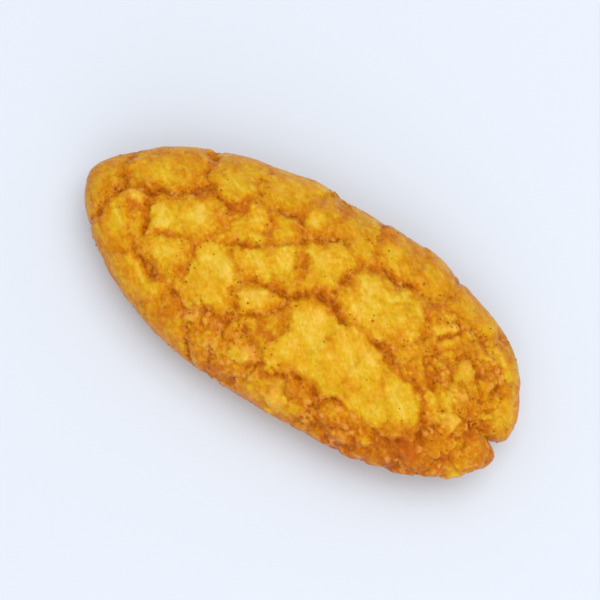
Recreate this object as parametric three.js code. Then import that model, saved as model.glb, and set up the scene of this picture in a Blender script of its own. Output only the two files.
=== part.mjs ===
// One puffed and glazed oval rice cracker, in millimetres with +Z up.
//
// X runs along the cracker towards its split end, Y runs across it, and the origin is the
// middle of the bottom of its box. The cracker is one solid: an oval pillow whose crust has
// broken into raised plates with sunken seams between them. It lies on the flat spots of the
// plates underneath.
import * as THREE from 'three';
import { mergeVertices } from 'three/addons/utils/BufferGeometryUtils.js';

// Overall form
const HALF_LENGTH = 21.71;
const HALF_WIDTH = 10.46;
const CROWN_RISE = 4.4; // the top face above the rim's middle line
const BELLY_DROP = 3.1; // the underside below it
const FACE_POWER = 2.8; // 2 gives an ellipse in section, more gives flatter faces
const TIP_LIFT = 0.7; // how far the two ends curl up off the table
const FOOT_DEPTH = 0.4; // what resting flattens off the lowest plates

// Outline: an oval whose corners fill out towards the split end, with waves and bulges.
// A bulge lies at an angle round the oval, and its size is a share of the oval's radius.
const OVAL_POWER = { mean: 2.177, along: 0.439, across: -0.03 };
const OUTLINE_WAVES = [
  { count: 2, size: 0.0236, phase: 2.03 },
  { count: 3, size: 0.013, phase: 2.79 },
];
const OUTLINE_BULGES = [
  { angle: 1.15, size: 0.05, width: 0.18 },
  { angle: 0.72, size: 0.022, width: 0.22 },
  { angle: 0.06, size: 0.02, width: 0.16 },
  { angle: -0.34, size: 0.012, width: 0.18 },
  { angle: 3.1, size: 0.014, width: 0.25 },
];

// Split end: a notch that runs in from the tip, a little wider below than above
const SPLIT = { depth: 1.45, upperWidth: 1.1, lowerWidth: 1.25, y: -1.9, start: 18 };

// Crust relief
const PLATE_RISE = 0.5; // a fully puffed plate above the seams
const FLAT_PLATE_SHARE = 0.35; // what a plate with no puff keeps of that
const PLATE_SHOULDER = 0.75; // how far from a seam a plate reaches most of its height
const PLATE_TILT = 0.07; // the largest slope of a plate
const SEAM_DEPTH = 0.26;
const SEAM_HALF_WIDTH = 0.4;
const SEAM_FADE = 1; // how much narrower a weak seam is
const DEPTH_WEIGHT = 1.5; // heights count this much more than plan distances between plates
const RIM_KEEPS = 0.5; // the rim's share of the relief
const RIM_BAND = 2.4; // how high above the rim's middle line the relief is whole again
const WANDER = [
  { size: 0.5, wavelength: 6.5, phase: 0.4 },
  { size: 0.25, wavelength: 2.4, phase: 2.1 },
];
const LUMPS = { size: 0.13, wavelength: 8.5, phase: 1.3 };

// How deeply each region of the crust is cracked, from 0 to 1. A crack inside a region is weaker
// than one between two regions, except across the smooth band along the rim, where they vary.
const CRACK_DEPTH = { underside: 0.85, band: 0.6, crown: 1, belly: 0.9, shield: 0.6, scorched: 0.8 };
const INNER_CRACK = [0.3, 0.7];
const BAND_CRACK = [0.35, 1.1];
const OUTER_CRACK = [0.8, 1.1];
const CRACK_SEED = 376;

// The long seam below the rim, where the top's plates end and the underside's begin
const RIM_SEAM = { height: -1.2, sway: { size: 0.5, wavelength: 9, phase: 0.7 }, strength: 0.4 };

// Plates of the top face by region: [puff, [x, y], ...]. Puff 0 is a flat brown patch and 1 a
// full blister, and a long plate has more than one middle.
const TOP_PLATES = {
  crown: [
    [0.95, [-13.8, -0.9], [-11.4, 0.5]],
    [0.66, [-12.4, -3.4]],
    [0.8, [-6.8, 2.4]],
    [0.92, [-4.6, 0.2], [-2.4, 1.5]],
    [0.95, [-7, -2.1], [-6.6, -4.6]],
    [0.8, [-3.5, -2.4]],
    [0.66, [-4.2, 3.9]],
    [0.88, [0.3, 2.6], [0, 4.2]],
  ],
  belly: [
    [1, [2.4, -2.7], [1.7, -5.4], [6, -3.4], [9.6, -3.6], [12.2, -4.4]],
    [0.42, [-0.7, -4.7]],
  ],
  shield: [
    [0.92, [5.2, 2.6], [8.6, 3]],
    [0.44, [13, 3.6]],
    [0.4, [12.2, 0.2]],
    [0.62, [16.8, 1.1]],
    [0.68, [16.3, -1.8]],
    [0.5, [18.8, -3.6]],
    [0.45, [16.7, -4.4]],
  ],
  scorched: [
    [0.24, [-5.8, -7.8]],
    [0.4, [-2.3, -7.4]],
    [0.3, [2.7, -9]],
    [0.14, [9.1, -8.8]],
    [0.2, [12.3, -7.8]],
    [0.16, [15.4, -6.9]],
  ],
  band: [
    [0.45, [-20, -0.4]],
    [0.66, [-17.4, -2.6]],
    [0.52, [-13.2, -6.3]],
    [0.5, [-9.2, -8.6]],
    [0.5, [18.4, -6.2]],
    [0.52, [21.2, -4.2]],
    [0.55, [20.6, 0.8]],
    [0.5, [18.4, 4.2]],
    [0.6, [13.6, 7]],
    [0.66, [5.8, 7.9], [8.9, 7.6]],
    [0.52, [1.8, 7.6]],
    [0.6, [-1.8, 6.6]],
    [0.58, [-5.2, 7.4]],
    [0.64, [-10.3, 5.9]],
    [0.64, [-14.7, 3.7], [-17.1, 2.2]],
  ],
};

// The underside's plates follow a rule: one row round its edge, and a brick pattern inside
const EDGE_ROW = { count: 14, turn: 0.17, stagger: 0.3, reach: [0.83, 0.89], puff: [0.3, 0.55] };
const BRICKS = {
  rows: 3,
  columns: 6,
  columnPitch: 6.2,
  rowPitch: 4.6,
  shift: 0.25,
  stagger: [2.2, 2],
  reach: 0.72,
  puff: [0.5, 0.95],
};

// Fineness of the mesh. With 138 points around, a line of points runs along the notch's bottom.
const POINTS_AROUND = 138;
const RINGS = 43;

const GOLDEN = 0.6180339887;
const SECOND_STRIDE = 0.7548776662;
const CRUST_COLOUR = 0xd79323;

// A draw from 0 to 1 that is the same every time: the fractional part of a multiple of the golden ratio.
const draw = (index, salt = 0) => (index * GOLDEN + salt * SECOND_STRIDE) % 1;

const between = ([low, high], share) => low + (high - low) * share;

const smooth = (t) => {
  const c = Math.min(1, Math.max(0, t));
  return c * c * (3 - 2 * c);
};

// A gentle irregular field: three crossing waves of one wavelength, up to `size` in all.
function ripple({ size, wavelength, phase }, x, y, z) {
  const k = (2 * Math.PI) / wavelength;
  const waves =
    Math.sin(k * (0.92 * x + 0.31 * y + 0.24 * z) + phase) +
    Math.sin(k * (-0.37 * x + 0.85 * y - 0.37 * z) + 2.3 * phase + 1) +
    Math.sin(k * (0.55 * x - 0.62 * y + 0.56 * z) + 3.1 * phase + 2);
  return (size * waves) / 3;
}

const ovalRadius = (x, y) => Math.hypot(x / HALF_LENGTH, y / HALF_WIDTH);

// Height of the plain pillow over the plan point (x, y), on the top (side 1) or underneath (side -1).
function faceHeight(x, y, side) {
  const left = Math.sqrt(Math.max(0, 1 - ovalRadius(x, y) ** FACE_POWER));
  return side > 0 ? CROWN_RISE * left : -BELLY_DROP * left;
}

// The crossways section, from the middle of the top round the rim to the middle of the underside,
// as evenly spaced steps of { share: how far out, side }.
function sectionSteps(count) {
  const fine = 2000;
  const path = [];
  let run = 0;
  for (let i = 0; i <= fine; i++) {
    const angle = (Math.PI * i) / fine;
    const share = Math.sin(angle) ** (2 / FACE_POWER);
    const side = angle < Math.PI / 2 ? 1 : -1;
    const y = HALF_WIDTH * share;
    const z = faceHeight(0, y, side);
    if (i > 0) run += Math.hypot(y - path[i - 1].y, z - path[i - 1].z);
    path.push({ share, side, y, z, run });
  }
  const steps = [];
  for (let k = 0, i = 0; k <= count; k++) {
    while (i < fine && path[i].run < (run * k) / count) i++;
    steps.push(path[i]);
  }
  steps[0] = { ...steps[0], share: 0, side: 1 };
  steps[count] = { ...steps[count], share: 0, side: -1 };
  return steps;
}

// A point of the plain pillow. The rings are confocal ovals, so the middle one is a line.
function pillowPoint(angle, { share, side }) {
  const narrow = HALF_WIDTH * share;
  const focus2 = HALF_LENGTH ** 2 - HALF_WIDTH ** 2;
  const x = Math.sqrt(narrow ** 2 + focus2) * Math.cos(angle);
  const y = narrow * Math.sin(angle);
  return new THREE.Vector3(x, y, faceHeight(x, y, side));
}

function pillowNormal(p) {
  const r = Math.max(ovalRadius(p.x, p.y), 1e-6);
  const spread = FACE_POWER * r ** (FACE_POWER - 2);
  const rise = p.z > 0 ? CROWN_RISE : BELLY_DROP;
  return new THREE.Vector3(
    (spread * p.x) / HALF_LENGTH ** 2,
    (spread * p.y) / HALF_WIDTH ** 2,
    (2 * p.z) / rise ** 2,
  ).normalize();
}

function topPlates() {
  const plates = [];
  for (const [region, rows] of Object.entries(TOP_PLATES)) {
    for (const [puff, ...places] of rows) {
      plates.push({ region, puff, middles: places.map(([x, y]) => ({ x, y, z: faceHeight(x, y, 1) })) });
    }
  }
  return plates;
}

function undersidePlate(x, y, puff) {
  return { region: 'underside', puff, middles: [{ x, y, z: faceHeight(x, y, -1) }] };
}

function edgeRowPlates() {
  const plates = [];
  for (let i = 0; i < EDGE_ROW.count; i++) {
    const place = i + EDGE_ROW.turn + EDGE_ROW.stagger * (draw(i, 1) - 0.5);
    const angle = (2 * Math.PI * place) / EDGE_ROW.count;
    const reach = between(EDGE_ROW.reach, draw(i, 2));
    const x = HALF_LENGTH * reach * Math.cos(angle);
    const y = HALF_WIDTH * reach * Math.sin(angle);
    plates.push(undersidePlate(x, y, between(EDGE_ROW.puff, draw(i, 3))));
  }
  return plates;
}

function brickPlates() {
  const plates = [];
  for (let row = 0; row < BRICKS.rows; row++) {
    for (let column = 0; column < BRICKS.columns; column++) {
      const i = row * BRICKS.columns + column;
      const shift = row % 2 ? BRICKS.shift : -BRICKS.shift;
      const along = column - (BRICKS.columns - 1) / 2 + shift;
      const across = row - (BRICKS.rows - 1) / 2;
      const x = along * BRICKS.columnPitch + BRICKS.stagger[0] * (draw(i, 4) - 0.5);
      const y = across * BRICKS.rowPitch + BRICKS.stagger[1] * (draw(i, 5) - 0.5);
      if (ovalRadius(x, y) < BRICKS.reach) {
        plates.push(undersidePlate(x, y, between(BRICKS.puff, draw(i, 6))));
      }
    }
  }
  return plates;
}

// Every plate, with its middles on the plain pillow and its slope.
function makePlates() {
  return [...topPlates(), ...edgeRowPlates(), ...brickPlates()].map((plate, i) => ({
    ...plate,
    slopeX: PLATE_TILT * (2 * draw(i, 7) - 1),
    slopeY: PLATE_TILT * (2 * draw(i, 8) - 1),
  }));
}

const apart = (a, b) => Math.hypot(a.x - b.x, a.y - b.y, DEPTH_WEIGHT * (a.z - b.z));

// The plate middles on the point's own side of the rim seam, nearest first.
function middlesByDistance(point, above, plates) {
  const found = [];
  plates.forEach((plate, index) => {
    if ((plate.region !== 'underside') !== above) return;
    for (const middle of plate.middles) found.push({ plate, index, middle, away: apart(point, middle) });
  });
  return found.sort((a, b) => a.away - b.away);
}

function crackStrength(one, other) {
  const [first, second] = [one.plate.region, other.plate.region];
  const inner = first === 'band' ? BAND_CRACK : INNER_CRACK;
  const lot = draw(one.index + other.index, CRACK_SEED);
  const depth = (CRACK_DEPTH[first] + CRACK_DEPTH[second]) / 2;
  return Math.min(1, depth * between(first === second ? inner : OUTER_CRACK, lot));
}

// The seams near a point, each with the distance to it and its strength from 0 to 1.
function seamsNear(near, toRim) {
  const home = near[0];
  const seams = [{ away: toRim, strength: RIM_SEAM.strength }];
  for (const other of near) {
    if (other.plate === home.plate) continue;
    const away = (other.away ** 2 - home.away ** 2) / (2 * apart(home.middle, other.middle));
    seams.push({ away, strength: crackStrength(home, other) });
  }
  return seams;
}

// How far the crust stands out from the plain pillow at a point.
function crustRelief(point, plates) {
  const { x, y, z } = point;
  const wandered = { x, y, z };
  for (const wave of WANDER) {
    wandered.x += ripple(wave, x, y, z);
    wandered.y += ripple(wave, y + 31, z, x);
  }
  const rim = RIM_SEAM.height + ripple(RIM_SEAM.sway, x, y, 0);
  const near = middlesByDistance(wandered, z > rim, plates);
  let seam = 0;
  let clear = Infinity;
  for (const { away, strength } of seamsNear(near, Math.abs(z - rim))) {
    seam = Math.max(seam, strength * Math.exp(-((away / SEAM_HALF_WIDTH) ** 2)));
    clear = Math.min(clear, away + SEAM_FADE * (1 - strength));
  }
  const { plate, middle } = near[0];
  const shoulder = 1 - Math.exp(-clear / PLATE_SHOULDER);
  const rise = PLATE_RISE * between([FLAT_PLATE_SHARE, 1], plate.puff);
  const tilt = plate.slopeX * (x - middle.x) + plate.slopeY * (y - middle.y);
  const kept = between([RIM_KEEPS, 1], smooth(Math.abs(z) / RIM_BAND));
  return kept * (shoulder * (rise + tilt) - SEAM_DEPTH * seam) + ripple(LUMPS, x, y, z);
}

// Share of the plain oval's radius that the real outline has at an angle.
function outlineScale(angle) {
  const along = Math.cos(angle);
  const across = Math.sin(angle);
  const power = OVAL_POWER.mean + OVAL_POWER.along * along + OVAL_POWER.across * across;
  let scale = (Math.abs(along) ** power + Math.abs(across) ** power) ** (-1 / power);
  for (const { count, size, phase } of OUTLINE_WAVES) scale *= 1 + size * Math.sin(count * angle + phase);
  for (const bulge of OUTLINE_BULGES) {
    const turn = angle - bulge.angle;
    const away = Math.atan2(Math.sin(turn), Math.cos(turn));
    scale *= 1 + bulge.size * Math.exp(-((away / bulge.width) ** 2));
  }
  return scale;
}

// Reshapes the plan from the plain oval to the real outline.
function shapeOutline(p) {
  const scale = outlineScale(Math.atan2(p.y / HALF_WIDTH, p.x / HALF_LENGTH));
  const share = Math.min(1, ovalRadius(p.x, p.y)) ** 2;
  p.x *= 1 + (scale - 1) * share;
  p.y *= 1 + (scale - 1) * share;
}

function cutSplit(p) {
  const inward = smooth((p.x - SPLIT.start) / (HALF_LENGTH - SPLIT.start));
  const across = p.y - SPLIT.y;
  const width = across > 0 ? SPLIT.upperWidth : SPLIT.lowerWidth;
  p.x -= SPLIT.depth * inward * Math.max(0, 1 - Math.abs(across) / width) ** 2;
}

function crackerPoint(angle, step, plates) {
  const p = pillowPoint(angle, step);
  p.addScaledVector(pillowNormal(p), crustRelief(p, plates));
  shapeOutline(p);
  cutSplit(p);
  p.z += TIP_LIFT * (p.x / HALF_LENGTH) ** 2;
  return p;
}

// The lowest plates are pressed flat where they lie on the table.
function pressFeet(points) {
  const lowest = Math.min(...points.map((p) => p.z));
  for (const p of points) p.z = Math.max(p.z, lowest + FOOT_DEPTH);
}

// Each ring is a loop of points, and the first and last run there and back along a middle line.
function crackerPoints() {
  const plates = makePlates();
  const points = [];
  for (const step of sectionSteps(RINGS)) {
    for (let i = 0; i < POINTS_AROUND; i++) {
      points.push(crackerPoint((2 * Math.PI * i) / POINTS_AROUND, step, plates));
    }
  }
  for (const start of [0, RINGS * POINTS_AROUND]) {
    for (let i = 1; i < POINTS_AROUND / 2; i++) points[start + POINTS_AROUND - i].copy(points[start + i]);
  }
  return points;
}

// Two triangles for each cell between two rings, parted by the shorter diagonal, which follows
// the creases of the crust better.
function crackerFaces(points) {
  const faces = [];
  for (let ring = 0; ring < RINGS; ring++) {
    for (let i = 0; i < POINTS_AROUND; i++) {
      const a = ring * POINTS_AROUND + i;
      const b = ring * POINTS_AROUND + ((i + 1) % POINTS_AROUND);
      const c = a + POINTS_AROUND;
      const d = b + POINTS_AROUND;
      if (points[a].distanceTo(points[d]) < points[b].distanceTo(points[c])) {
        faces.push(a, c, d, a, d, b);
      } else {
        faces.push(a, c, b, b, c, d);
      }
    }
  }
  return faces;
}

function centreOnBase(geometry) {
  geometry.computeBoundingBox();
  const { min, max } = geometry.boundingBox;
  geometry.translate(-(min.x + max.x) / 2, -(min.y + max.y) / 2, -min.z);
}

function crackerGeometry() {
  const points = crackerPoints();
  pressFeet(points);
  const geometry = new THREE.BufferGeometry().setFromPoints(points);
  geometry.setIndex(crackerFaces(points));
  centreOnBase(geometry);
  const merged = mergeVertices(geometry, 1e-4);
  merged.computeVertexNormals();
  return merged;
}

const crust = new THREE.MeshStandardMaterial({ color: CRUST_COLOUR, roughness: 0.45, metalness: 0 });
const cracker = new THREE.Mesh(crackerGeometry(), crust);
cracker.name = 'cracker';

const riceCracker = new THREE.Group();
riceCracker.add(cracker);

export default riceCracker;
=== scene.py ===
"""One puffed and glazed oval rice cracker: its crust, the spice stuck to it, and a small studio stage.

X runs along the cracker towards its split end, Y across it and Z up, and the origin is the middle of the
bottom of its box. Lengths are millimetres until MM makes them metres, apart from the table and the lamps.
"""

import math
import random
from types import SimpleNamespace

import bmesh
import bpy
import numpy as np
from bpy.props import FloatProperty, FloatVectorProperty, IntProperty, PointerProperty
from mathutils import Matrix, Quaternion, Vector, noise


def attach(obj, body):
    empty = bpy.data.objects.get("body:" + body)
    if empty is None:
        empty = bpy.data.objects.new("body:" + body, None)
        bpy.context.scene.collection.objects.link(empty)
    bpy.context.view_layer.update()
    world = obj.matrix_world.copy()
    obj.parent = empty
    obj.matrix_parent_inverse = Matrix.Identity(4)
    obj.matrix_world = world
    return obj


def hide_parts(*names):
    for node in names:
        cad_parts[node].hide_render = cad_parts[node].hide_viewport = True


bl_info = {
    "name": "Rice Cracker",
    "version": (1, 0, 0),
    "blender": (4, 5, 0),
    "location": "View3D > Sidebar > Rice Cracker",
    "description": "Builds one glazed oval rice cracker with its crust, spice and stage",
    "category": "Add Mesh",
}

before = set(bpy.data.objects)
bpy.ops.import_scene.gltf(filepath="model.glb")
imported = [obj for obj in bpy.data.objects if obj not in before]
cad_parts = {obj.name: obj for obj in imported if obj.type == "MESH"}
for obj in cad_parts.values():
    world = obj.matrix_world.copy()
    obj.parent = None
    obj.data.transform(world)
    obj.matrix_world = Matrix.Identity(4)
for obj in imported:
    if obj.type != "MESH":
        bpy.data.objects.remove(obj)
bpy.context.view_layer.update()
MM = 0.001
NODE = "cracker"
BODY = "root"

# How the plan departs from a plain oval: the power that squares off its corners, (count, size, phase) of
# its waves, and (angle, size, width) of its bulges
OVAL_POWER = {"mean": 2.177, "along": 0.439, "across": -0.03}
OUTLINE_WAVES = ((2, 0.0236, 2.03), (3, 0.013, 2.79))
OUTLINE_BULGES = (
    (1.15, 0.050, 0.18),
    (0.72, 0.022, 0.22),
    (0.06, 0.020, 0.16),
    (-0.34, 0.012, 0.18),
    (3.10, 0.014, 0.25),
)
# Plates of the top face by region: (puff, (x, y), ...). The cracks between two regions are deep ones. Puff
# 0 is a flat brown patch and 1 a full blister, and a long plate has more than one middle.
TOP_PLATES = {
    "crown": (
        (0.95, (-13.8, -0.9), (-11.4, 0.5)),
        (0.66, (-12.4, -3.4)),
        (0.80, (-6.8, 2.4)),
        (0.92, (-4.6, 0.2), (-2.4, 1.5)),
        (0.95, (-7.0, -2.1), (-6.6, -4.6)),
        (0.80, (-3.5, -2.4)),
        (0.66, (-4.2, 3.9)),
        (0.88, (0.3, 2.6), (0.0, 4.2)),
    ),
    "belly": (
        (1.00, (2.4, -2.7), (1.7, -5.4), (6.0, -3.4), (9.6, -3.6), (12.2, -4.4)),
        (0.42, (-0.7, -4.7)),
    ),
    "shield": (
        (0.92, (5.2, 2.6), (8.6, 3.0)),
        (0.44, (13.0, 3.6)),
        (0.40, (12.2, 0.2)),
        (0.62, (16.8, 1.1)),
        (0.68, (16.3, -1.8)),
        (0.50, (18.8, -3.6)),
        (0.45, (16.7, -4.4)),
    ),
    "scorched": (
        (0.24, (-5.8, -7.8)),
        (0.40, (-2.3, -7.4)),
        (0.30, (2.7, -9.0)),
        (0.14, (9.1, -8.8)),
        (0.20, (12.3, -7.8)),
        (0.16, (15.4, -6.9)),
    ),
    "band": (
        (0.45, (-20.0, -0.4)),
        (0.66, (-17.4, -2.6)),
        (0.52, (-13.2, -6.3)),
        (0.50, (-9.2, -8.6)),
        (0.50, (18.4, -6.2)),
        (0.52, (21.2, -4.2)),
        (0.55, (20.6, 0.8)),
        (0.50, (18.4, 4.2)),
        (0.60, (13.6, 7.0)),
        (0.66, (5.8, 7.9), (8.9, 7.6)),
        (0.52, (1.8, 7.6)),
        (0.60, (-1.8, 6.6)),
        (0.58, (-5.2, 7.4)),
        (0.64, (-10.3, 5.9)),
        (0.64, (-14.7, 3.7), (-17.1, 2.2)),
    ),
}
# The underside's plates follow a rule: one row round its edge, and a brick pattern inside
EDGE_ROW = {"count": 14, "turn": 0.17, "stagger": 0.3, "reach": (0.83, 0.89), "puff": (0.3, 0.55)}
BRICKS = {
    "rows": 3,
    "columns": 6,
    "column_pitch": 6.2,
    "row_pitch": 4.6,
    "shift": 0.25,
    "stagger": (2.2, 2.0),
    "reach": 0.72,
    "puff": (0.5, 0.95),
}
REGIONS = ("underside", "band", "crown", "belly", "shield", "scorched")
# How deeply each region is cracked, from 0 to 1. A crack inside a region is weaker than one between two
# regions, except across the smooth band along the rim, where they vary.
CRACK = {"underside": 0.85, "band": 0.6, "crown": 1.0, "belly": 0.9, "shield": 0.6, "scorched": 0.8}
INNER_CRACK = (0.3, 0.7)
BAND_CRACK = (0.35, 1.1)
OUTER_CRACK = (0.8, 1.1)
CRACK_SEED = 376
# The long seam below the rim, where the top's plates end and the underside's begin
RIM_SEAM = {"height": -1.2, "sway": 0.5, "ripple": (9, 0.7), "strength": 0.4, "fade": 0.8}
# How crumbly the crust of each region is, from 0 to 1
GRAIN = {"underside": 0.4, "band": 0.14, "crown": 0.18, "belly": 0.1, "shield": 0.3, "scorched": 0.55}
# Browned patches of the top face: (x, y, reach, strength)
TOASTED = (
    (14.4, -6.6, 2.4, 1.0),
    (9.4, -8.6, 1.6, 0.9),
    (11.9, -9.8, 1.4, 0.9),
    (-5.6, -7.4, 1.7, 0.45),
    (-4.4, -6.2, 1.0, 0.7),
    (-9.2, -6.2, 1.1, 0.5),
    (19.2, -2.2, 1.4, 0.8),
    (17.6, 2.9, 1.3, 0.7),
    (-16.6, 0.6, 1.1, 0.7),
    (14.9, 0.5, 1.1, 0.5),
    (11.6, -1.3, 1.2, 0.7),
    (3.7, -0.3, 1.0, 0.8),
    (3.0, 2.6, 0.9, 0.5),
    (2.0, 0.6, 0.9, 0.6),
    (-9.8, 2.4, 0.8, 0.6),
    (-9.6, 0.9, 0.8, 0.6),
    (-9.5, -0.7, 0.8, 0.5),
    (-9.8, -2.4, 0.8, 0.5),
    (-10.2, -4.4, 1.0, 0.5),
    (-16.2, -1.2, 0.8, 0.5),
    (-15.4, -3.6, 0.8, 0.4),
    (-8.6, 3.5, 1.2, 0.6),
    (-12.2, 2.6, 1.1, 0.7),
    (-2.9, 5.0, 0.8, 0.6),
    (-0.9, -4.4, 1.5, 0.3),
    (4.1, 8.6, 1.1, 0.8),
    (6.6, -7.8, 1.2, 0.4),
    (13.4, -2.7, 1.0, 0.5),
    (15.2, -4.1, 1.0, 0.6),
    (12.6, 3.0, 0.7, 0.4),
    (14.3, 2.6, 0.8, 0.5),
    (12.8, -6.3, 1.4, 0.8),
    (18.6, -3.2, 1.2, 0.6),
    (-12.4, -5.2, 1.5, 0.4),
    (-9.0, -7.6, 1.6, 0.3),
    (-3.0, -9.2, 1.8, 0.4),
    (9.8, -7.2, 1.0, 0.5),
)
# Pale patches of the top face, where the glaze is thin over a blister, partly a painted highlight: (x, y,
# reach, strength)
PALE = (
    (-13.9, -0.7, 1.5, 1.0),
    (-11.7, 0.8, 1.1, 1.0),
    (-12.0, -3.4, 0.9, 1.0),
    (-7.2, -1.8, 1.3, 1.0),
    (-6.0, 2.7, 1.0, 1.0),
    (-4.9, 0.3, 0.9, 1.0),
    (-2.6, 1.6, 1.3, 1.0),
    (-3.4, -2.6, 1.0, 1.0),
    (0.2, 3.4, 1.4, 0.5),
    (-4.2, 4.0, 0.8, 0.8),
    (-6.4, -5.2, 1.0, 0.7),
    (-2.3, 6.2, 0.7, 1.0),
    (-17.5, -3.1, 0.9, 1.0),
    (4.7, 3.3, 1.1, 1.0),
    (5.6, 1.5, 1.0, 1.0),
    (7.6, 4.3, 1.0, 1.0),
    (2.2, -1.7, 1.4, 1.0),
    (3.4, -2.8, 1.0, 1.0),
    (1.2, -5.0, 1.2, 1.0),
    (7.6, -2.6, 1.5, 1.0),
    (12.2, -3.6, 1.5, 1.0),
    (10.5, -5.2, 1.0, 0.8),
    (0.9, -6.2, 1.2, 0.8),
    (5.0, -4.6, 1.3, 0.6),
    (-3.9, -0.2, 0.8, 0.8),
    (20.6, 0.8, 1.3, 0.7),
    (18.9, 4.3, 1.2, 0.5),
    (15.4, 5.6, 1.2, 0.5),
    (18.6, -6.2, 1.4, 0.6),
    (13.2, 1.6, 1.0, 0.5),
    (12.0, 4.2, 0.9, 0.6),
    (16.4, 2.4, 0.8, 0.5),
    (-16.0, 3.0, 1.6, 0.5),
    (-10.3, 6.2, 1.3, 0.5),
    (-5.4, -7.4, 0.7, 0.6),
    (-2.4, -8.3, 0.8, 0.7),
    (-3.2, -6.2, 0.6, 0.6),
    (-12.8, -6.3, 1.0, 0.6),
    (16.3, -2.1, 1.0, 0.5),
    (16.8, 1.2, 0.9, 0.5),
    (5.4, 7.6, 0.8, 1.0),
)
# Patches of the top face that are broken into small lumps: (x, y, reach, strength)
CRUMBLED = (
    (13.4, 0.4, 2.3, 1.0),
    (16.8, 1.0, 3.0, 1.0),
    (17.2, -2.6, 2.6, 1.0),
    (14.2, -6.8, 2.4, 1.0),
    (17.0, -5.6, 1.8, 1.0),
    (10.6, -8.4, 2.0, 1.0),
    (7.4, -8.6, 1.8, 1.0),
    (3.4, -8.2, 1.9, 1.0),
    (0.0, -7.6, 1.8, 1.0),
    (-0.9, -4.4, 1.4, 0.8),
    (-3.6, -6.8, 2.2, 1.0),
    (-6.6, -7.0, 1.8, 1.0),
    (3.3, 0.0, 0.9, 1.0),
    (13.2, 4.2, 1.6, 1.0),
    (-16.2, 0.4, 1.4, 1.0),
)
# What moves the seams sideways: (size, wavelength, phase) of its ripples, and (size, scale) of its noise
WANDER_RIPPLES = ((0.5, 6.5, 0.4), (0.25, 2.4, 2.1))
WANDER_NOISES = ((0.5, 0.35), (0.35, 0.8), (0.18, 2.1))
FLAT_PLATE_SHARE = 0.35  # what a plate with no puff keeps of a full one's rise
SHOULDER_FOOT = 0.15  # how softly a plate's edge begins to rise beside its seam
SWELL = {"size": 0.13, "ripple": (8.5, 1.3)}  # the wide unevenness of the whole crust
RIM_BAND = 2.4  # how far above or below the rim's middle line the relief is whole again
RIM_SHADE_AND_TOAST_REACH = 1.3  # how far from that line the rim's darkening reaches: painted shade of the flank that turns from the light, with some browning
FAR = 50.0  # further than any seam
# The fine relief
BLISTER_SIZE = 2.3
BLISTER_RISE = 0.10
CRUMB_SIZE = 0.62
CRUMB_RISE = 0.17
DOME_REACH = 0.62  # of a blister or crumb, as a share of its size
CREASE_DEPTH = 0.05
FOLD_DEPTH = 0.16
LUMP_SIZE = 2.3
LUMP_RISE = 0.40
LUMP_GAP_DEPTH = 0.20
# Strides of the draws, and what turns the place of a cell's middle into the cell's number
GOLDEN = 0.6180339887
SECOND_STRIDE = 0.7548776662
CELL_STRIDES = (12.9898, 78.233, 37.719)
# What the crust's mesh tells its material about each point
LOOKS = ("puff", "seam", "clear", "toast", "thin", "rim", "crumb", "crease", "lot", "rough")

GLAZE_GLINT = (1.0, 0.58, 0.08, 1)  # the golden tint of the oily glaze's reflections
CAMERA_AIM = (0.0, 0.0, 3.9)
CAMERA_OFFSET = (10.86, -38.63, 165.18)  # from the aim
CAMERA_UP = (-0.524, 0.821, 0.227)
CAMERA_LENS = 112
CAMERA_SENSOR = 36
TABLE_HALF_SIDE = 2.0  # in metres


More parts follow.
